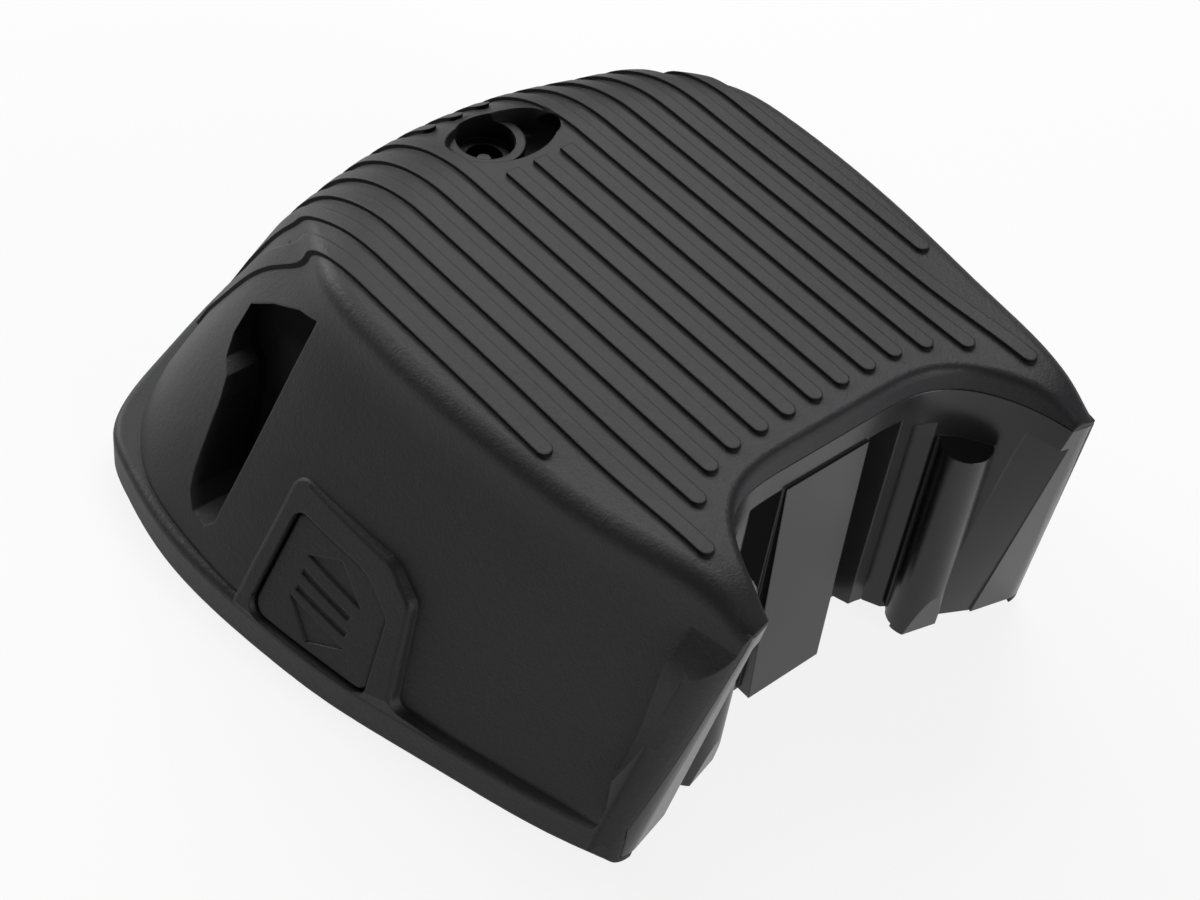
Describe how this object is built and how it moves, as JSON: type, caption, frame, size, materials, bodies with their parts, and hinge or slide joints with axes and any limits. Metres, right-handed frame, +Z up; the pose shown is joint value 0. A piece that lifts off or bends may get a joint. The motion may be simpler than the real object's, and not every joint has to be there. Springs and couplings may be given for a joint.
{
  "type": "vacuum cleaner battery",
  "caption": "Slide-on battery pack with a ribbed top that slopes down at the rear, a notched railed front between prongs, sprung side buttons, side pockets and a round charging socket.",
  "frame": {"origin": "on the surface it stands on, under the middle of the casing", "axes": "+Z up through the ribbed top, -Y towards the notch, +X to the right as seen from the notch's open side towards the rear"},
  "size_m": [0.1216, 0.1293, 0.0534],
  "materials": {
    "cover_plastic": "fine textured black moulding",
    "chassis_plastic": "smooth satin black moulding",
    "button_plastic": "fine textured black moulding",
    "latch_plastic": "black acetal",
    "spring_steel": "drawn wire",
    "socket_plastic": "black insert",
    "contact_metal": "bright contact metal",
    "cell_sleeve": "shrink sleeve",
    "holder_plastic": "black moulding",
    "nickel": "rolled nickel",
    "foam": "closed cell foam",
    "sheet": "insulating card",
    "board_laminate": "solder masked laminate",
    "component_epoxy": "moulded epoxy",
    "capacitor_can": "bright can",
    "screw_steel": "zinc plated",
    "contact_housing": "black moulding",
    "lead_sleeve": "insulated lead"
  },
  "bodies": {
    "body": {"outer_cover": "cover_plastic", "chassis": "chassis_plastic", "right_spring": "spring_steel", "left_spring": "spring_steel", "charging_socket": "socket_plastic", "socket_pin": "contact_metal", "front_cell_holder": "holder_plastic", "rear_cell_holder": "holder_plastic", "front_nickel_strips": "nickel", "rear_nickel_strips": "nickel", "foam_strips": "foam", "insulation_sheet": "sheet", "control_board": "board_laminate", "board_screws": "screw_steel", "power_transistors": "component_epoxy", "board_chips": "component_epoxy", "board_capacitors": "capacitor_can", "contact_block": "contact_housing", "contact_blades": "contact_metal", "contact_leads": "lead_sleeve", "socket_leads": "lead_sleeve", "casing_screws": "screw_steel", "cell_1": "cell_sleeve", "cell_2": "cell_sleeve", "cell_3": "cell_sleeve", "cell_4": "cell_sleeve", "cell_5": "cell_sleeve", "cell_6": "cell_sleeve", "cell_7": "cell_sleeve"},
    "right_button": {"right_button": "button_plastic", "right_latch": "latch_plastic"},
    "left_button": {"left_button": "button_plastic", "left_latch": "latch_plastic"}
  },
  "joints": [
    {"name": "right_button_press", "type": "slide", "parent": "body", "child": "right_button", "axis": [-1, 0, 0], "range_m": [0, 0.003], "stiffness_N_per_m": 600, "springref_m": -0.004, "deforming": ["right_spring"]},
    {"name": "left_button_press", "type": "slide", "parent": "body", "child": "left_button", "axis": [1, 0, 0], "range_m": [0, 0.003], "stiffness_N_per_m": 600, "springref_m": -0.004, "deforming": ["left_spring"]}
  ]
}
